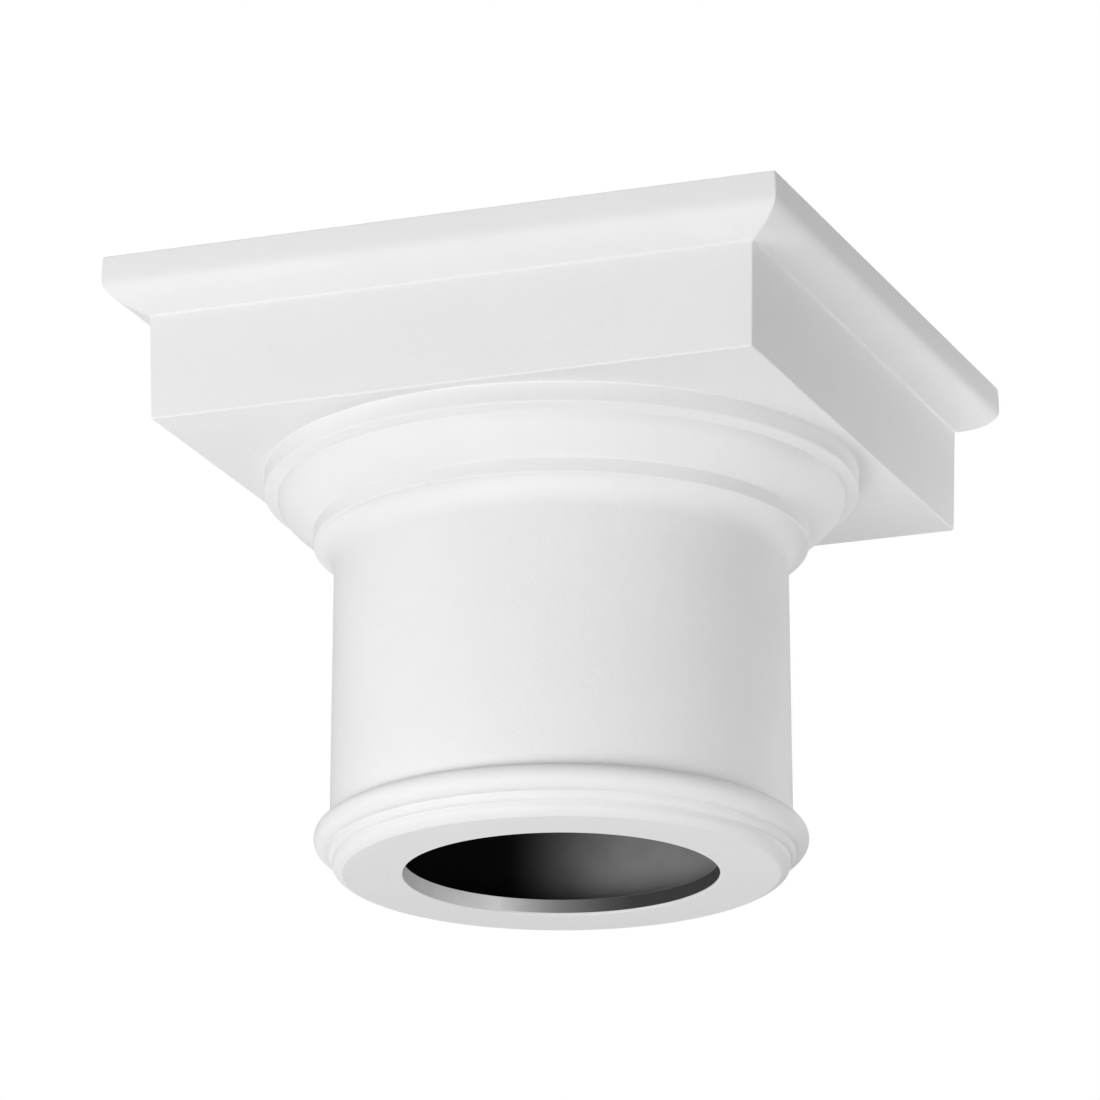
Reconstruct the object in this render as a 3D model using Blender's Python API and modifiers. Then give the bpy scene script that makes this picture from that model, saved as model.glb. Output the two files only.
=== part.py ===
"""Tuscan column capital, moulded hollow in one piece.

A round neck with an astragal at its foot carries a cove, a fillet, an echinus and a ring, and
the square abacus with its crown moulding lies on them. A post passes through from end to end.
Metres, +Z up. The origin is the centre of the seat ring, which stands on z = 0.
"""

from math import acos, asin, cos, pi, radians, sin, sqrt

import bpy

# Heights of the members, from the seat upwards.
LIP_HEIGHT = 0.0041
LIP_EDGE_HEIGHT = 0.0022
BEAD_HEIGHT = 0.0039
ASTRAGAL_RADIUS = 0.0059
NECK_HEIGHT = 0.1220
COVE_HEIGHT = 0.0121
FILLET_HEIGHT = 0.0070
ECHINUS_HEIGHT = 0.0169
RING_SPLAY = 0.0018
RING_HEIGHT = 0.0095
BLOCK_HEIGHT = 0.0494
CROWN_HEIGHT = 0.0138
TOP_EDGE_HEIGHT = 0.0112

# The neck sets every width. Each projection is how far a member stands out past its neighbour.
NECK_RADIUS = 0.1060
NECK_TAPER = 0.0010
ASTRAGAL_SET_OUT = 0.0013
BEAD_ROUNDING = 0.0027
LIP_ROUNDING = 0.0048
COVE_PROJECTION = 0.0096
ECHINUS_PROJECTION = 0.0167
RING_STEP = 0.0064
BLOCK_PROJECTION = 0.0077
BLOCK_DRAFT = 0.0010
CROWN_PROJECTION = 0.0170

# How flat the lower part of a convex moulding is. 1 is a quarter ellipse.
LIP_FLATNESS = 1.7
ECHINUS_FLATNESS = 2.15
CROWN_FLATNESS = 1.6

# The hollow.
WALL = 0.0110
SEAT_WIDTH = 0.0273
MOUTH_THICKNESS = 0.0078
TOP_PLATE = 0.0120

# Fineness of the round shapes.
ROUND_STEPS = 72
SQUARE_STEPS = 4
PAST_THE_FACE = 0.0100

# Moulded white, ready primed.
PRIMER_WHITE = (0.80, 0.80, 0.79, 1.0)
PRIMER_ROUGHNESS = 0.62

# Levels that the heights add up to.
BEAD_FOOT = LIP_HEIGHT + LIP_EDGE_HEIGHT
ASTRAGAL_FOOT = BEAD_FOOT + BEAD_HEIGHT
ASTRAGAL_CENTRE = ASTRAGAL_FOOT + ASTRAGAL_RADIUS
NECK_FOOT = ASTRAGAL_CENTRE + ASTRAGAL_RADIUS
COVE_FOOT = NECK_FOOT + NECK_HEIGHT
FILLET_FOOT = COVE_FOOT + COVE_HEIGHT
ECHINUS_FOOT = FILLET_FOOT + FILLET_HEIGHT
ECHINUS_TOP = ECHINUS_FOOT + ECHINUS_HEIGHT
RING_FOOT = ECHINUS_TOP + RING_SPLAY
BLOCK_FOOT = RING_FOOT + RING_HEIGHT
CROWN_FOOT = BLOCK_FOOT + BLOCK_HEIGHT
TOP_EDGE_FOOT = CROWN_FOOT + CROWN_HEIGHT
TOP = TOP_EDGE_FOOT + TOP_EDGE_HEIGHT

# Widths that the projections add up to.
NECK_TOP_RADIUS = NECK_RADIUS - NECK_TAPER
ASTRAGAL_CENTRE_RADIUS = NECK_RADIUS + ASTRAGAL_SET_OUT
LIP_RADIUS = ASTRAGAL_CENTRE_RADIUS - BEAD_ROUNDING
SEAT_RADIUS = LIP_RADIUS - LIP_ROUNDING
FILLET_RADIUS = NECK_TOP_RADIUS + COVE_PROJECTION
ECHINUS_RADIUS = FILLET_RADIUS + ECHINUS_PROJECTION
RING_RADIUS = ECHINUS_RADIUS + RING_STEP
BLOCK_HALF_WIDTH = RING_RADIUS + BLOCK_PROJECTION
TOP_HALF_WIDTH = BLOCK_HALF_WIDTH + CROWN_PROJECTION
PASSAGE_RADIUS = SEAT_RADIUS - SEAT_WIDTH


def clear_scene():
    for obj in list(bpy.data.objects):
        bpy.data.objects.remove(obj, do_unlink=True)


def new_collection(name):
    collection = bpy.data.collections.new(name)
    bpy.context.scene.collection.children.link(collection)
    return collection


def convex(start, end, flatness=1.0, steps=6):
    """A round from start, where it runs straight down, in to end, where it runs level."""
    points = []
    for i in range(steps + 1):
        turn = pi / 2 * i / steps
        out, down = max(cos(turn), 0.0) ** flatness, sin(turn)
        points.append((end[0] + (start[0] - end[0]) * out, start[1] - (start[1] - end[1]) * down))
    return points


def concave(start, end, steps=6):
    """A hollow from start, where it runs level, in and down to end, where it runs straight down."""
    points = []
    for i in range(steps + 1):
        turn = pi / 2 * i / steps
        points.append((start[0] + (end[0] - start[0]) * sin(turn), end[1] + (start[1] - end[1]) * cos(turn)))
    return points


def astragal(steps=12):
    """The roll at the foot of the neck, from the neck's face round to the bead under it."""
    upper = acos(max(-ASTRAGAL_SET_OUT / ASTRAGAL_RADIUS, -1.0))
    points = []
    for i in range(steps + 1):
        turn = upper + (-pi / 2 - upper) * i / steps
        points.append((ASTRAGAL_CENTRE_RADIUS + ASTRAGAL_RADIUS * cos(turn),
                       ASTRAGAL_CENTRE + ASTRAGAL_RADIUS * sin(turn)))
    return points


def turned_outline():
    """The round members, top to bottom. It starts inside the block, so that the two overlap."""
    inside_block = BLOCK_FOOT + BLOCK_HEIGHT / 4
    outline = [(0.0, inside_block), (RING_RADIUS, inside_block), (RING_RADIUS, RING_FOOT)]
    outline += convex((ECHINUS_RADIUS, ECHINUS_TOP), (FILLET_RADIUS, ECHINUS_FOOT), ECHINUS_FLATNESS, 8)
    outline += concave((FILLET_RADIUS, FILLET_FOOT), (NECK_TOP_RADIUS, COVE_FOOT))
    outline += astragal()
    outline += convex((ASTRAGAL_CENTRE_RADIUS, ASTRAGAL_FOOT), (LIP_RADIUS, BEAD_FOOT), steps=4)[1:]
    outline += convex((LIP_RADIUS, LIP_HEIGHT), (SEAT_RADIUS, 0.0), LIP_FLATNESS, 4)
    return outline + [(0.0, 0.0)]


def abacus_outline():
    """The square members, top to bottom, as half widths of the square."""
    outline = [(0.0, TOP), (TOP_HALF_WIDTH, TOP)]
    outline += convex((TOP_HALF_WIDTH, TOP_EDGE_FOOT), (BLOCK_HALF_WIDTH, CROWN_FOOT), CROWN_FLATNESS, 8)
    return outline + [(BLOCK_HALF_WIDTH - BLOCK_DRAFT, BLOCK_FOOT), (0.0, BLOCK_FOOT)]


def passage_outline():
    """The round hollow: top hole, cone under the block, neck and mouth, open at both ends."""
    neck = NECK_TOP_RADIUS - WALL
    under_block = RING_RADIUS - 2 * WALL
    above, below = TOP + PAST_THE_FACE, -PAST_THE_FACE
    recess_top = TOP - TOP_PLATE
    return [(0.0, above), (PASSAGE_RADIUS, above), (PASSAGE_RADIUS, recess_top - WALL),
            (under_block, recess_top - WALL), (under_block, BLOCK_FOOT), (neck, COVE_FOOT),
            (neck, MOUTH_THICKNESS), (PASSAGE_RADIUS, MOUTH_THICKNESS), (PASSAGE_RADIUS, below), (0.0, below)]


def recess_outline():
    """The square hollow inside the abacus block, under its top plate."""
    half, top, foot = BLOCK_HALF_WIDTH - BLOCK_DRAFT - WALL, TOP - TOP_PLATE, BLOCK_FOOT + WALL
    return [(0.0, top), (half, top), (half, foot), (0.0, foot)]


def spin(name, outline, steps, collection):
    """Turn an outline about the Z axis. Four steps make a square with mitred corners."""
    square = steps == SQUARE_STEPS
    reach = sqrt(2.0) if square else 1.0
    mesh = bpy.data.meshes.new(name)
    points = [(radius * reach, 0.0, height) for radius, height in outline]
    mesh.from_pydata(points, [(i, i + 1) for i in range(len(points) - 1)], [])
    obj = bpy.data.objects.new(name, mesh)
    obj.rotation_euler.z = pi / 4 if square else 0.0
    collection.objects.link(obj)
    screw = obj.modifiers.new("Spin", "SCREW")
    screw.angle = 2 * pi
    screw.steps = screw.render_steps = steps
    screw.use_merge_vertices = True
    screw.merge_threshold = 0.00005
    screw.use_smooth_shade = not square
    return obj


def make_guide(obj):
    obj.hide_render = True
    obj.display_type = "WIRE"
    return obj


def combine(obj, operation, other):
    boolean = obj.modifiers.new(f"{operation.title()} {other.name}", "BOOLEAN")
    boolean.operation = operation
    boolean.object = other
    boolean.solver = "EXACT"


def primer_material():
    material = bpy.data.materials.new("white primer")
    material.use_nodes = True
    shader = material.node_tree.nodes["Principled BSDF"]
    shader.inputs["Base Color"].default_value = PRIMER_WHITE
    shader.inputs["Roughness"].default_value = PRIMER_ROUGHNESS
    shader.inputs["Metallic"].default_value = 0.0
    material.diffuse_color = PRIMER_WHITE
    return material


def shade_round(obj):
    """Keep the shape as a mesh whose curves are smooth and whose arrises are sharp."""
    evaluated = obj.evaluated_get(bpy.context.evaluated_depsgraph_get())
    mesh = bpy.data.meshes.new_from_object(evaluated)
    obj.modifiers.clear()
    obj.data = mesh
    mesh.shade_smooth()
    mesh.set_sharp_from_angle(angle=radians(28))


def build_capital(parts, guides):
    capital = spin("capital", turned_outline(), ROUND_STEPS, parts)
    abacus = make_guide(spin("abacus_form", abacus_outline(), SQUARE_STEPS, guides))
    passage = make_guide(spin("passage_cutter", passage_outline(), ROUND_STEPS, guides))
    recess = make_guide(spin("recess_cutter", recess_outline(), SQUARE_STEPS, guides))
    combine(capital, "UNION", abacus)
    combine(capital, "DIFFERENCE", passage)
    combine(capital, "DIFFERENCE", recess)
    shade_round(capital)
    capital.data.materials.clear()
    capital.data.materials.append(primer_material())
    return capital


def main():
    clear_scene()
    parts = new_collection("tuscan column capital")
    guides = new_collection("cutters")
    build_capital(parts, guides)


main()
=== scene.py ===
# %% [markdown]
# A plain capital of the Tuscan kind: the member between the round shaft of a column and the beam
# that it carries. This one is moulded hollow, in one piece, and sold ready primed in white.
#
# The frame is the measured solid, with +Z up and the seat ring standing on z = 0. It is loaded
# first, and it gives the box that the finer model has to stay inside.

# %% Load the frame
from math import acos, atan2, copysign, cos, hypot, pi, radians, sin

import bmesh
import bpy
from mathutils import Matrix, Vector


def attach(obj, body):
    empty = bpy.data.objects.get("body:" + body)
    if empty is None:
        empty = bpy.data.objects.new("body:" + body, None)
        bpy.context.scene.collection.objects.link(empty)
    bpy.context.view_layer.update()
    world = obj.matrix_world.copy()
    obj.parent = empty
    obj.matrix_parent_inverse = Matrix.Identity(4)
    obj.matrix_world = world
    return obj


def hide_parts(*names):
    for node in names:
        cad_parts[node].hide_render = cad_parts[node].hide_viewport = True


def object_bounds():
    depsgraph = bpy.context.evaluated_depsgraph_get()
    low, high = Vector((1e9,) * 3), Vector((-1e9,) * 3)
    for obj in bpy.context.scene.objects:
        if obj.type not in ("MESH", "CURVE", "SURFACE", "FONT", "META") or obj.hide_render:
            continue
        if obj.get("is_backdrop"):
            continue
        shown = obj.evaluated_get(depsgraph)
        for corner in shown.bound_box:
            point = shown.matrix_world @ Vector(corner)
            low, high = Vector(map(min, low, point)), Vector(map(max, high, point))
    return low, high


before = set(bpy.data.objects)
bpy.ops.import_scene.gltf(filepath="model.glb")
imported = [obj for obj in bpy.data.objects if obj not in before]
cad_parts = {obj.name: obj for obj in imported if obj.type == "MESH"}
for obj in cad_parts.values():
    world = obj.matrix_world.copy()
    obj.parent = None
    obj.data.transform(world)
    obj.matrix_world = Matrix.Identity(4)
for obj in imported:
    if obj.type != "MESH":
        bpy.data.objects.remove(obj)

cad_low, cad_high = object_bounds()
print("frame:", sorted(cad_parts), "size in mm", [round(s * 1000, 1) for s in cad_high - cad_low])

# %% [markdown]
# A classical capital is read as a stack of members, and each member has one height and one
# projection. Named sizes keep that stack readable. The levels and the widths are running sums, so
# a member that grows pushes the others along, as it would on the drawing board.

# %% Sizes of the members, from the seat upwards
LIP_HEIGHT, LIP_EDGE_HEIGHT, BEAD_HEIGHT, ASTRAGAL_RADIUS = 0.0041, 0.0022, 0.0039, 0.0059
NECK_HEIGHT, COVE_HEIGHT, FILLET_HEIGHT = 0.1220, 0.0121, 0.0070
ECHINUS_HEIGHT, RING_SPLAY, RING_HEIGHT = 0.0169, 0.0018, 0.0095
BLOCK_HEIGHT, CROWN_HEIGHT, TOP_EDGE_HEIGHT = 0.0494, 0.0138, 0.0112

NECK_RADIUS, NECK_TAPER, ASTRAGAL_SET_OUT = 0.1060, 0.0010, 0.0013
BEAD_ROUNDING, LIP_ROUNDING = 0.0027, 0.0048
COVE_PROJECTION, ECHINUS_PROJECTION, RING_STEP = 0.0096, 0.0167, 0.0064
BLOCK_PROJECTION, BLOCK_DRAFT, CROWN_PROJECTION = 0.0077, 0.0010, 0.0170
LIP_FLATNESS, ECHINUS_FLATNESS, CROWN_FLATNESS = 1.7, 2.15, 1.6

WALL, SEAT_WIDTH, MOUTH_THICKNESS, TOP_PLATE = 0.0110, 0.0273, 0.0078, 0.0120

# %% Levels and widths that follow from them
bead_foot = LIP_HEIGHT + LIP_EDGE_HEIGHT
astragal_foot = bead_foot + BEAD_HEIGHT
astragal_centre = astragal_foot + ASTRAGAL_RADIUS
cove_foot = astragal_centre + ASTRAGAL_RADIUS + NECK_HEIGHT
fillet_foot = cove_foot + COVE_HEIGHT
echinus_foot = fillet_foot + FILLET_HEIGHT
echinus_top = echinus_foot + ECHINUS_HEIGHT
ring_foot = echinus_top + RING_SPLAY
block_foot = ring_foot + RING_HEIGHT
crown_foot = block_foot + BLOCK_HEIGHT
top_edge_foot = crown_foot + CROWN_HEIGHT
top = top_edge_foot + TOP_EDGE_HEIGHT
recess_top, recess_floor = top - TOP_PLATE, block_foot + WALL

neck_top_radius = NECK_RADIUS - NECK_TAPER
astragal_radius = NECK_RADIUS + ASTRAGAL_SET_OUT
lip_radius = astragal_radius - BEAD_ROUNDING
seat_radius = lip_radius - LIP_ROUNDING
fillet_radius = neck_top_radius + COVE_PROJECTION
echinus_radius = fillet_radius + ECHINUS_PROJECTION
ring_radius = echinus_radius + RING_STEP
block_half = ring_radius + BLOCK_PROJECTION
top_half = block_half + CROWN_PROJECTION
passage_radius = seat_radius - SEAT_WIDTH
print("height", round(top * 1000, 1), "mm, width", round(top_half * 2000, 1), "mm")

# %% [markdown]
# A moulding is drawn in section first. A convex quarter round leaves its upper member straight
# down and meets the lower one level; a cove does the reverse. Both are a cosine and a sine on
# their own half widths. A power on the cosine keeps the gentle start of the round and pulls its
# lower part flat, the way stock mouldings are.

# %% Curves of the mouldings
CURVE_STEPS, SMALL_STEPS, ROLL_STEPS = 12, 8, 24


def convex(start, end, flatness=1.0, steps=CURVE_STEPS):
    """From start, where it runs straight down, in to end, where it runs level."""
    turns = [pi / 2 * i / steps for i in range(steps + 1)]
    return [(end[0] + (start[0] - end[0]) * max(cos(t), 0.0) ** flatness,
             start[1] - (start[1] - end[1]) * sin(t)) for t in turns]


def concave(start, end, steps=CURVE_STEPS):
    """From start, where it runs level, in and down to end, where it runs straight down."""
    turns = [pi / 2 * i / steps for i in range(steps + 1)]
    return [(start[0] + (end[0] - start[0]) * sin(t), end[1] + (start[1] - end[1]) * cos(t)) for t in turns]


def astragal():
    """The roll at the foot of the neck, from the neck's face round to the bead under it."""
    upper = acos(-ASTRAGAL_SET_OUT / ASTRAGAL_RADIUS)
    turns = [upper + (-pi / 2 - upper) * i / ROLL_STEPS for i in range(ROLL_STEPS + 1)]
    return [(astragal_radius + ASTRAGAL_RADIUS * cos(t), astragal_centre + ASTRAGAL_RADIUS * sin(t))
            for t in turns]


# %% [markdown]
# No arris on a primed moulding is truly sharp, and no inner corner either: paint rounds them to
# about a millimetre. Those small rounds catch the light as thin pale lines, so they matter more
# than their size. The outline is a wire of vertices, and a vertex bevel rounds a corner of the
# wire before it is spun, which costs one operator and keeps the big curves as drawn.

# %% Draw an outline and round its corners
ROUNDING_STEPS = 5


def outline(points, rounding):
    """A wire in the XZ plane. rounding gives pairs of a corner's place and its radius."""
    bm = bmesh.new()
    verts = [bm.verts.new((radius, 0.0, height)) for radius, height in points]
    for lower, upper in zip(verts, verts[1:]):
        bm.edges.new((lower, upper))
    for (radius, height), size in rounding:
        drawn = [v for v in verts if v.is_valid]
        corner = min(drawn, key=lambda v: hypot(v.co.x - radius, v.co.z - height))
        bmesh.ops.bevel(bm, geom=[corner], offset=size, offset_type="OFFSET", segments=ROUNDING_STEPS,
                        profile=0.5, affect="VERTICES", material=-1)
    return bm


# %% [markdown]
# A round member is its outline spun about the axis. The square abacus starts in the same way, so
# that it gets as many points round as a circle has, and then each column of points is pushed out
# to its place on a square. A few columns at each corner follow a tiny arc, which softens the
# mitre. Circle and square can later be joined point to point.

# %% Spin an outline round or square
ROUND_STEPS, MITRE_STEPS = 192, 4
whole = bmesh.new()


def column_of(vert):
    """Which of the columns round the axis a point of a spun outline is in."""
    return round(atan2(vert.co.y, vert.co.x) / (2 * pi) * ROUND_STEPS)


def place_on_square(half, column, mitre):
    """Where a column of points goes on a square of this half width."""
    quarter = round(column * 4 / ROUND_STEPS)
    step = column - quarter * ROUND_STEPS // 4
    last = ROUND_STEPS // 8 - MITRE_STEPS // 2
    x, y = half, (half - mitre) * step / last
    if abs(step) > last:
        turn = (abs(step) - last) / MITRE_STEPS * pi / 2
        x, y = half - mitre + mitre * cos(turn), copysign(half - mitre + mitre * sin(turn), step)
    return Matrix.Rotation(quarter * pi / 2, 2) @ Vector((x, y))


def spin(bm, finish, mitre=None):
    """Spin an outline, push it out to a square if it has a mitre, and add it to the whole."""
    bmesh.ops.spin(bm, geom=bm.verts[:] + bm.edges[:], cent=(0, 0, 0), axis=(0, 0, 1), angle=2 * pi,
                   steps=ROUND_STEPS, use_merge=True, use_duplicate=False)
    if mitre is not None:
        for vert in bm.verts:
            vert.co.xy = place_on_square(vert.co.xy.length, column_of(vert), mitre)
    for face in bm.faces:
        face.material_index = finish
    member = bpy.data.meshes.new("member")
    bm.to_mesh(member)
    bm.free()
    whole.from_mesh(member)
    bpy.data.meshes.remove(member)


# %% [markdown]
# The round members are one continuous outline, from the ring under the abacus down over the
# echinus, fillet and cove, along the neck, round the astragal, bead and lip and across the seat.
# It turns up just inside the mouth, where the white paint ends.

# %% The round members
PRIMED, BARE = 0, 1
ARRIS, INNER_CORNER, LEDGE, MOUTH_ARRIS = 0.0008, 0.0006, 0.0022, 0.0005
PAINTED_LIP = 0.0012

round_outline = [(ring_radius + LEDGE, block_foot), (ring_radius, block_foot), (ring_radius, ring_foot)]
round_outline += convex((echinus_radius, echinus_top), (fillet_radius, echinus_foot), ECHINUS_FLATNESS)
round_outline += concave((fillet_radius, fillet_foot), (neck_top_radius, cove_foot))
round_outline += astragal()
round_outline += convex((astragal_radius, astragal_foot), (lip_radius, bead_foot), steps=SMALL_STEPS)[1:]
round_outline += convex((lip_radius, LIP_HEIGHT), (seat_radius, 0.0), LIP_FLATNESS, SMALL_STEPS)
round_outline += [(passage_radius, 0.0), (passage_radius, PAINTED_LIP)]
spin(outline(round_outline, [
    ((ring_radius, block_foot), INNER_CORNER),
    ((ring_radius, ring_foot), ARRIS),
    ((fillet_radius, echinus_foot), INNER_CORNER),
    ((fillet_radius, fillet_foot), ARRIS),
    ((passage_radius, 0.0), MOUTH_ARRIS),
]), PRIMED)
print("round members:", len(whole.faces), "faces")

# %% [markdown]
# The abacus is the square slab on top. Its crown moulding runs round all four sides and meets
# itself in a mitre at each corner. Its upright top edge is crowned by half a millimetre, which
# shades it a little from top to bottom. The block under it tapers by a millimetre, the draft that
# lets the casting leave its mould.

# %% The abacus
MITRE, TOP_LEDGE, TOP_CROWNING, CROWN_CORNER = 0.0008, 0.0100, 0.0005, 0.0018
block_foot_half = block_half - BLOCK_DRAFT
top_corner = (top_half - TOP_CROWNING, top)

abacus_outline = [(top_half - TOP_LEDGE, top), top_corner]
abacus_outline += [(top_half - TOP_CROWNING * up * up, top_edge_foot + TOP_EDGE_HEIGHT * up)
                   for up in (0.75, 0.5, 0.25)]
abacus_outline += convex((top_half, top_edge_foot), (block_half, crown_foot), CROWN_FLATNESS)
abacus_outline += [(block_foot_half, block_foot), (block_foot_half - LEDGE, block_foot)]
spin(outline(abacus_outline, [
    (top_corner, ARRIS),
    ((block_half, crown_foot), CROWN_CORNER),
    ((block_foot_half, block_foot), ARRIS),
]), PRIMED, MITRE)

hole_outline = [(passage_radius + TOP_LEDGE, top), (passage_radius, top), (passage_radius, top - PAINTED_LIP)]
spin(outline(hole_outline, [((passage_radius, top), MOUTH_ARRIS)]), PRIMED)
print("with the abacus:", len(whole.faces), "faces")

# %% [markdown]
# The inside is what the post passes through: a mouth with a thin lip, the neck's bore, a cone
# under the block, and the square recess inside the abacus. The wall is 11 mm, as such castings
# have. It isn't painted, so it is a second finish on the same closed skin.

# %% The hollow
INSIDE_ROUND, INSIDE_LEDGE = 0.0020, 0.0060
bore, under_block, recess_half = neck_top_radius - WALL, ring_radius - 2 * WALL, block_foot_half - WALL

bore_outline = [(passage_radius, PAINTED_LIP), (passage_radius, MOUTH_THICKNESS), (bore, MOUTH_THICKNESS),
                (bore, cove_foot), (under_block, block_foot), (under_block, recess_floor),
                (under_block + INSIDE_LEDGE, recess_floor)]
spin(outline(bore_outline, [
    ((passage_radius, MOUTH_THICKNESS), MOUTH_ARRIS),
    ((bore, MOUTH_THICKNESS), INSIDE_ROUND),
    ((under_block, recess_floor), INSIDE_ROUND),
]), BARE)

recess_outline = [(recess_half - INSIDE_LEDGE, recess_floor), (recess_half, recess_floor),
                  (recess_half, recess_top), (recess_half - INSIDE_LEDGE, recess_top)]
spin(outline(recess_outline, [
    ((recess_half, recess_floor), INSIDE_ROUND),
    ((recess_half, recess_top), INSIDE_ROUND),
]), BARE, INSIDE_ROUND)

plate_outline = [(passage_radius + INSIDE_LEDGE, recess_top), (passage_radius, recess_top),
                 (passage_radius, top - PAINTED_LIP)]
spin(outline(plate_outline, [((passage_radius, recess_top), MOUTH_ARRIS)]), BARE)
print("with the hollow:", len(whole.faces), "faces")

# %% [markdown]
# Four level faces are still missing: the soffit of the block, the top, and the floor and ceiling
# of the recess. Each lies between a circle and a square on the same level. Bridging two rims that
# lie one inside the other can join them crosswise, so the circle's rim is extruded instead, its
# new points go to their places on the square, and a merge closes the seam.

# %% Fill the level faces and close the skin
SAME_PLACE, MERGE_DISTANCE = 0.00001, 0.000002


def fill_out_to_square(level, half, mitre, finish):
    rim = [e for e in whole.edges if e.is_boundary and all(abs(v.co.z - level) < SAME_PLACE for v in e.verts)]
    circle = []
    for edge in rim:
        start, end = (v.co.xy.length for v in edge.verts)
        if abs(start - end) < SAME_PLACE and start < half:
            circle.append(edge)
    made = bmesh.ops.extrude_edge_only(whole, edges=circle)["geom"]
    for vert in (v for v in made if isinstance(v, bmesh.types.BMVert)):
        vert.co.xy = place_on_square(half, column_of(vert), mitre)
    strip = [f for f in made if isinstance(f, bmesh.types.BMFace)]
    for face in strip:
        face.material_index = finish
    return len(strip)


bmesh.ops.remove_doubles(whole, verts=whole.verts[:], dist=MERGE_DISTANCE)
print("soffit:", fill_out_to_square(block_foot, block_foot_half - LEDGE, MITRE, PRIMED), "faces")
print("top:", fill_out_to_square(top, top_half - TOP_LEDGE, MITRE, PRIMED), "faces")
for level, name in ((recess_floor, "recess floor:"), (recess_top, "recess ceiling:")):
    print(name, fill_out_to_square(level, recess_half - INSIDE_LEDGE, INSIDE_ROUND, BARE), "faces")
bmesh.ops.remove_doubles(whole, verts=whole.verts[:], dist=MERGE_DISTANCE)
bmesh.ops.recalc_face_normals(whole, faces=whole.faces[:])
loose = sum(1 for e in whole.edges if not e.is_manifold)
print("faces:", len(whole.faces), "open edges:", loose)
print("volume in litres:", round(whole.calc_volume() * 1000, 3))

# %% [markdown]
# Smooth shading on flat faces next to small rounds smears the light. Edges sharper than 30
# degrees are marked, which leaves only the grooves at the foot and the break under the ring, and
# Weighted Normal lets the large faces keep their own normal.

# %% Make the object
mesh = bpy.data.meshes.new("moulded_capital")
whole.to_mesh(mesh)
whole.free()
mesh.shade_smooth()
mesh.set_sharp_from_angle(angle=radians(30))
capital = bpy.data.objects.new("moulded_capital", mesh)
bpy.context.scene.collection.objects.link(capital)
weighted = capital.modifiers.new("Flat faces stay flat", "WEIGHTED_NORMAL")
weighted.keep_sharp = True

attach(capital, "root")
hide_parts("capital")
print("triangles:", sum(len(p.vertices) - 2 for p in mesh.polygons))

# %% [markdown]
# Both finishes share two effects, so each effect is a node group with its own inputs. Grain is a
# fine height for a Bump node. Mottle is a slow patchiness that mixes two colours and can also
# steer the roughness. Both read Object coordinates, which are metres here, so a scale of 700
# means about 700 grains to the metre.

# %% Helpers for nodes
def new_group(name, inputs, outputs):
    group = bpy.data.node_groups.new(name, "ShaderNodeTree")
    for socket, kind, value in inputs:
        item = group.interface.new_socket(name=socket, in_out="INPUT", socket_type=kind)
        item.default_value = value
    for socket, kind in outputs:
        group.interface.new_socket(name=socket, in_out="OUTPUT", socket_type=kind)
    nodes = group.nodes
    return group, nodes, group.links, nodes.new("NodeGroupInput"), nodes.new("NodeGroupOutput")


def feed(links, socket, value):
    """Give a socket a plain value, or link another node's output to it."""
    if isinstance(value, bpy.types.NodeSocket):
        links.new(value, socket)
    else:
        socket.default_value = value


def math_node(nodes, links, operation, first, second):
    node = nodes.new("ShaderNodeMath")
    node.operation = operation
    feed(links, node.inputs[0], first)
    feed(links, node.inputs[1], second)
    return node.outputs[0]


def mix_values(nodes, links, mask, first, second):
    node = nodes.new("ShaderNodeMix")
    for socket, value in zip((node.inputs[0], node.inputs[2], node.inputs[3]), (mask, first, second)):
        feed(links, socket, value)
    return node.outputs[0]


def map_range(nodes, links, value, start, end, low=0.0, high=1.0, kind="LINEAR"):
    """Turn a value that runs from start to end into one that runs from low to high."""
    node = nodes.new("ShaderNodeMapRange")
    node.interpolation_type = kind
    for socket, number in zip(("From Min", "From Max", "To Min", "To Max"), (start, end, low, high)):
        node.inputs[socket].default_value = number
    links.new(value, node.inputs["Value"])
    return node.outputs[0]


def noise_node(nodes, links, scale, detail, roughness):
    node = nodes.new("ShaderNodeTexNoise")
    node.inputs["Detail"].default_value = detail
    node.inputs["Roughness"].default_value = roughness
    links.new(nodes.new("ShaderNodeTexCoord").outputs["Object"], node.inputs["Vector"])
    links.new(scale, node.inputs["Scale"])
    return node.outputs[0]


# %% Grain, a fine height
grain, nodes, links, given, put = new_group(
    "Grain", [("Fine scale", "NodeSocketFloat", 2600.0), ("Peel scale", "NodeSocketFloat", 650.0),
              ("Peel share", "NodeSocketFloat", 0.6)], [("Height", "NodeSocketFloat")])
fine = noise_node(nodes, links, given.outputs["Fine scale"], 2.0, 0.5)
peel = noise_node(nodes, links, given.outputs["Peel scale"], 1.0, 0.4)
links.new(mix_values(nodes, links, given.outputs["Peel share"], fine, peel), put.inputs["Height"])

# %% Mottle, a slow patchiness
mottle, nodes, links, given, put = new_group(
    "Mottle", [("First", "NodeSocketColor", (0.8, 0.8, 0.8, 1)),
               ("Second", "NodeSocketColor", (0.7, 0.7, 0.7, 1)), ("Scale", "NodeSocketFloat", 30.0)],
    [("Color", "NodeSocketColor"), ("Mask", "NodeSocketFloat")])
patches = noise_node(nodes, links, given.outputs["Scale"], 4.0, 0.55)
steeper = map_range(nodes, links, patches, 0.3, 0.7)
colours = nodes.new("ShaderNodeMix")
colours.data_type = "RGBA"
links.new(steeper, colours.inputs[0])
links.new(given.outputs["First"], colours.inputs[6])
links.new(given.outputs["Second"], colours.inputs[7])
links.new(colours.outputs[2], put.inputs["Color"])
links.new(steeper, put.inputs["Mask"])
print("groups:", [g.name for g in bpy.data.node_groups])

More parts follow.
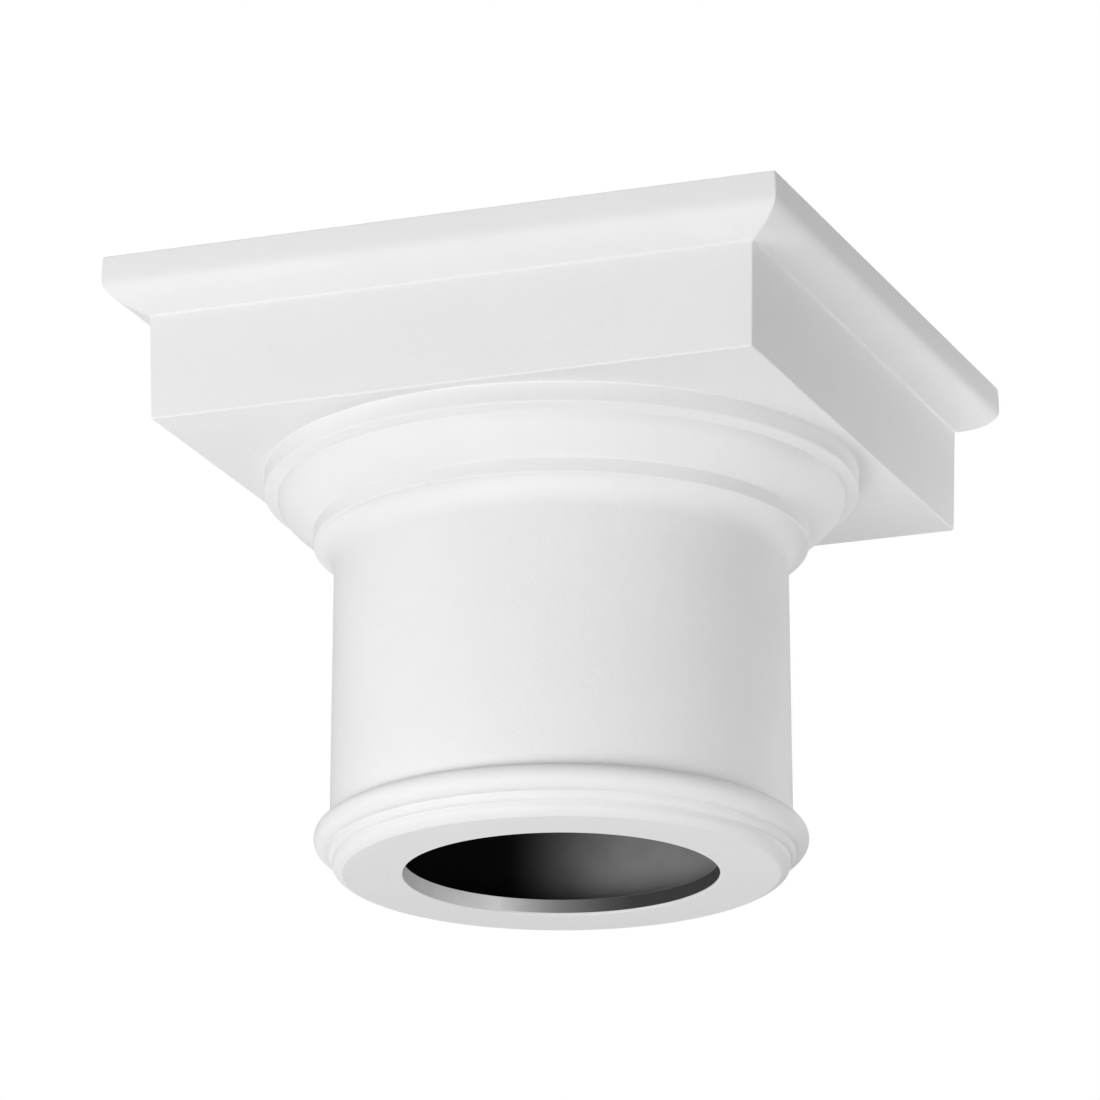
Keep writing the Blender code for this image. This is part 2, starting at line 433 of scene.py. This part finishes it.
# %% [markdown]
# Factory primer is a sprayed matt white. Seen close it has a faint orange peel, about a
# millimetre and a half across, and a fine tooth on top of it that takes the finish coat. Its
# white drifts very slightly from place to place, and it is a little shinier where it went on wet.

# %% White primer
PRIMER_WHITE, PRIMER_DRIFTED = (0.80, 0.80, 0.797, 1), (0.785, 0.785, 0.783, 1)
PRIMER_SMOOTHEST, PRIMER_ROUGHEST, PRIMER_GLOSS = 0.58, 0.68, 0.35
PRIMER_RELIEF, PRIMER_RELIEF_STRENGTH = 0.0004, 0.5


def new_material(name):
    material = bpy.data.materials.new(name)
    material.use_nodes = True
    tree = material.node_tree
    return material, tree.nodes, tree.links, tree.nodes["Principled BSDF"]


def place_group(nodes, group, **values):
    node = nodes.new("ShaderNodeGroup")
    node.node_tree = group
    for name, value in values.items():
        node.inputs[name.replace("_", " ")].default_value = value
    return node


def add_bump(nodes, links, shader, height, distance, strength):
    bump = nodes.new("ShaderNodeBump")
    bump.inputs["Distance"].default_value = distance
    bump.inputs["Strength"].default_value = strength
    links.new(height, bump.inputs["Height"])
    links.new(bump.outputs[0], shader.inputs["Normal"])


primer, nodes, links, shader = new_material("white primer")
drift = place_group(nodes, mottle, First=PRIMER_WHITE, Second=PRIMER_DRIFTED, Scale=26.0)
links.new(drift.outputs["Color"], shader.inputs["Base Color"])
roughness = map_range(nodes, links, drift.outputs["Mask"], 0.0, 1.0, PRIMER_SMOOTHEST, PRIMER_ROUGHEST)
links.new(roughness, shader.inputs["Roughness"])
tooth = place_group(nodes, grain, Fine_scale=2400.0, Peel_scale=640.0, Peel_share=0.6)
add_bump(nodes, links, shader, tooth.outputs["Height"], PRIMER_RELIEF, PRIMER_RELIEF_STRENGTH)
shader.inputs["Specular IOR Level"].default_value = PRIMER_GLOSS
mesh.materials.append(primer)
print("material:", primer.name, "with", len(nodes), "nodes")

# %% [markdown]
# Inside, the moulding is left as it came off the mould, dark and dull. Light and shade are painted
# into its colour. The edge of the mouth has a painted highlight, white at the left and dark at the
# right. The wall of the bore behind it has painted shade, black at the left, and painted light, grey
# at the right. Paint and light can't be told apart there, so this is a guess: both are taken as
# overspray. The painted light changes along a level line, the one that runs from left to right in
# the camera's view, and it stays where it is on the object in every other view. On the edge of the
# mouth the painted white halves every fifteen millimetres or so, in the bore it changes in one soft
# step, and the height above the seat chooses between the two.

# %% Bare inside, with painted light and shade
# The painted light and shade inside run along this level direction.
PAINTED_LIGHT_DIRECTION, CHOICE_MARGIN = (0.936, 0.353, 0.0), 0.0003
MOUTH_PAINTED_HIGHLIGHT, MOUTH_DARK, WHITE_ENDS, WHITE_HALVES_IN = 0.87, 0.055, -0.0290, 0.0155
BORE_PAINTED_SHADE, BORE_PAINTED_LIGHT, GREY_BEGINS, GREY_FULL = 0.005, 0.245, -0.0270, 0.0330
STREAK_SHADE, BARE_SMOOTHEST, BARE_ROUGHEST, BARE_GLOSS = 0.86, 0.62, 0.80, 0.05
BARE_RELIEF, BARE_RELIEF_STRENGTH = 0.0003, 0.4

bare, nodes, links, shader = new_material("bare moulding with painted light")
place = nodes.new("ShaderNodeTexCoord").outputs["Object"]
dot = nodes.new("ShaderNodeVectorMath")
dot.operation = "DOT_PRODUCT"
dot.inputs[1].default_value = PAINTED_LIGHT_DIRECTION
links.new(place, dot.inputs[0])
along = dot.outputs["Value"]
height = nodes.new("ShaderNodeSeparateXYZ")
links.new(place, height.inputs[0])

# Painted highlight on the mouth's edge: white at the left, halving towards the right.
past_white = math_node(nodes, links, "SUBTRACT", along, WHITE_ENDS)
halvings = math_node(nodes, links, "DIVIDE", past_white, WHITE_HALVES_IN)
thinned = math_node(nodes, links, "MULTIPLY", math_node(nodes, links, "POWER", 0.5, halvings), MOUTH_PAINTED_HIGHLIGHT)
at_least_dark = math_node(nodes, links, "MAXIMUM", thinned, MOUTH_DARK)
mouth_painted_highlight = math_node(nodes, links, "MINIMUM", at_least_dark, MOUTH_PAINTED_HIGHLIGHT)
# Painted shade and light on the bore: black at the left, grey at the right.
bore_painted_shade_and_light = map_range(nodes, links, along, GREY_BEGINS, GREY_FULL, BORE_PAINTED_SHADE, BORE_PAINTED_LIGHT, "SMOOTHSTEP")

above_mouth = math_node(nodes, links, "GREATER_THAN", height.outputs["Z"], MOUTH_THICKNESS - CHOICE_MARGIN)
grey = mix_values(nodes, links, above_mouth, mouth_painted_highlight, bore_painted_shade_and_light)
streaks = place_group(nodes, mottle, Scale=60.0)
links.new(grey, streaks.inputs["First"])
links.new(math_node(nodes, links, "MULTIPLY", grey, STREAK_SHADE), streaks.inputs["Second"])
links.new(streaks.outputs["Color"], shader.inputs["Base Color"])
roughness = map_range(nodes, links, streaks.outputs["Mask"], 0.0, 1.0, BARE_SMOOTHEST, BARE_ROUGHEST)
links.new(roughness, shader.inputs["Roughness"])
weave = place_group(nodes, grain, Fine_scale=1800.0, Peel_scale=320.0, Peel_share=0.7)
add_bump(nodes, links, shader, weave.outputs["Height"], BARE_RELIEF, BARE_RELIEF_STRENGTH)
shader.inputs["Specular IOR Level"].default_value = BARE_GLOSS
mesh.materials.append(bare)
print("materials:", [m.name for m in mesh.materials])

# %% [markdown]
# The photograph looks up at the capital from a good way off with a long lens, so its verticals
# stay upright. The camera stands below the seat and a little to the right of the front. Its place,
# turn and lens were found by matching the photograph's outline and edges.

# %% Camera
CAMERA_PLACE, CAMERA_RISE, CAMERA_TURN = (1.2275, -3.2552, -0.9372), 0.3043, 0.3621
SENSOR_WIDTH, LENS = 36.0, 258.206

camera = bpy.data.objects.new("camera", bpy.data.cameras.new("camera"))
bpy.context.scene.collection.objects.link(camera)
bpy.context.scene.camera = camera
camera.location = CAMERA_PLACE
camera.rotation_euler = (pi / 2 + CAMERA_RISE, 0.0, CAMERA_TURN)
camera.data.sensor_width = SENSOR_WIDTH
camera.data.lens = LENS
camera.data.dof.use_dof = False
print("camera:", round(camera.location.length, 2), "m from the seat")

# %% [markdown]
# The light is a studio's: large soft panels a few paces off, most of them low or in front, and a
# few smaller ones close by that fall off across the faces. The right side gets the least. Each
# stands at an angle round from the front, an angle up from level, and a distance, all from one
# point in the neck that it faces. The powers were fitted to the photograph's tones and rounded.
# No panel crosses the floor, where it would burn a bright patch, and none shows to the camera.

# %% Light panels
AIM = Vector((0.0, 0.0, 0.14))


def add_panel(name, turn, rise, distance, size, power):
    """turn is to the right of the front and rise is above level, both in degrees."""
    data = bpy.data.lights.new(name, "AREA")
    data.shape, data.size, data.energy = "DISK", size, power
    panel = bpy.data.objects.new(name, data)
    bpy.context.scene.collection.objects.link(panel)
    turn, rise = radians(turn), radians(rise)
    outward = Vector((sin(turn) * cos(rise), -cos(turn) * cos(rise), sin(rise)))
    panel.location = AIM + outward * distance
    panel.rotation_euler = outward.to_track_quat("Z", "Y").to_euler()
    panel.visible_camera = False
    return panel


add_panel("low front panel", 0, -30, 2.5, 2.0, 25.6)
add_panel("front panel", 0, 30, 2.5, 2.0, 5.4)
add_panel("high front panel", 0, 60, 2.5, 2.0, 4.8)
add_panel("high left panel", -90, 30, 2.5, 2.0, 11.5)
add_panel("low back panel", 180, -60, 2.5, 2.0, 7.5)
add_panel("low back left panel", -135, -30, 2.5, 2.0, 15.1)
add_panel("top panel", 0, 90, 2.5, 2.0, 24.0)
add_panel("near low front panel", -18.4, -30.3, 1.466, 0.8, 6.3)
add_panel("near low left panel", -45, -25.5, 1.254, 0.6, 2.2)
add_panel("near low right panel", 90, -30, 0.8, 0.5, 1.4)
add_panel("near right panel", 80.5, 12.1, 1.244, 0.6, 1.8)
small_panel = add_panel("small back right panel", 143.1, 1.1, 0.5, 0.2, 0.43)

# %% [markdown]
# The smallest panel stands close behind the capital and just above the floor, where it would
# leave a bright spot. Light linking gives a lamp a collection of things that it may light, and
# this one's holds only the capital.

# %% Keep the small panel off the floor
lit = bpy.data.collections.new("lit by the small panel")
lit.objects.link(capital)
small_panel.light_linking.receiver_collection = lit

# %% [markdown]
# The backdrop is plain white. A Light Path node lets the camera see white while the surfaces are
# lit by a softer grey, so that the background and the light can be set apart.

# %% White backdrop
ROOM_LIGHT = 0.22

world = bpy.data.worlds.new("studio")
bpy.context.scene.world = world
world.use_nodes = True
nodes, links = world.node_tree.nodes, world.node_tree.links
room, backdrop = nodes["Background"], nodes.new("ShaderNodeBackground")
room.inputs["Color"].default_value = backdrop.inputs["Color"].default_value = (1.0, 1.0, 1.0, 1.0)
room.inputs["Strength"].default_value = ROOM_LIGHT
seen = nodes.new("ShaderNodeLightPath")
choose = nodes.new("ShaderNodeMixShader")
links.new(seen.outputs["Is Camera Ray"], choose.inputs[0])
links.new(room.outputs[0], choose.inputs[1])
links.new(backdrop.outputs[0], choose.inputs[2])
links.new(choose.outputs[0], nodes["World Output"].inputs["Surface"])
bpy.context.scene.view_settings.view_transform = "Standard"
print("room light:", ROOM_LIGHT, "of the backdrop's white")

# %% [markdown]
# A pale floor shows in any view from above, and fades into the white backdrop a few metres out,
# like a studio sweep. The photograph is taken from below the capital, so the floor is one-sided:
# Backfacing makes its underside clear. It takes shadows and gives none, and so the panels under it
# still light the capital.

# %% Pale floor
FLOOR_SIZE, FLOOR_GAP, FADE_FROM, FADE_TO = 40.0, 0.0005, 0.6, 3.0
FLOOR_COLOUR, FLOOR_ROUGHNESS = (0.9, 0.9, 0.9, 1), 0.9

bm = bmesh.new()
bmesh.ops.create_grid(bm, x_segments=2, y_segments=2, size=FLOOR_SIZE / 2,
                      matrix=Matrix.Translation((0, 0, -FLOOR_GAP)))
floor_mesh = bpy.data.meshes.new("floor")
bm.to_mesh(floor_mesh)
bm.free()
floor = bpy.data.objects.new("floor", floor_mesh)
bpy.context.scene.collection.objects.link(floor)
floor.visible_shadow = floor.visible_diffuse = floor.visible_glossy = False

pale, nodes, links, shader = new_material("pale floor")
shader.inputs["Base Color"].default_value = FLOOR_COLOUR
shader.inputs["Roughness"].default_value = FLOOR_ROUGHNESS
distance = nodes.new("ShaderNodeVectorMath")
distance.operation = "LENGTH"
links.new(nodes.new("ShaderNodeTexCoord").outputs["Object"], distance.inputs[0])
fade = map_range(nodes, links, distance.outputs["Value"], FADE_FROM, FADE_TO, kind="SMOOTHSTEP")
side = nodes.new("ShaderNodeNewGeometry")
clear = nodes.new("ShaderNodeBsdfTransparent")
one_sided = nodes.new("ShaderNodeMixShader")
links.new(math_node(nodes, links, "MAXIMUM", side.outputs["Backfacing"], fade), one_sided.inputs[0])
links.new(shader.outputs[0], one_sided.inputs[1])
links.new(clear.outputs[0], one_sided.inputs[2])
links.new(one_sided.outputs[0], nodes["Material Output"].inputs["Surface"])
floor_mesh.materials.append(pale)
floor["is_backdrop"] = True
print("floor:", FLOOR_SIZE, "m wide, fades out by", FADE_TO, "m")

# %% [markdown]
# The last step measures the finished model against the frame's box, in case a round or a bump
# has crept outside it.

# %% Measure and finish
new_low, new_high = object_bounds()
changes = zip(new_high - new_low, cad_high - cad_low)
print("size change in mm:", [round((new - cad) * 1000, 3) for new, cad in changes])
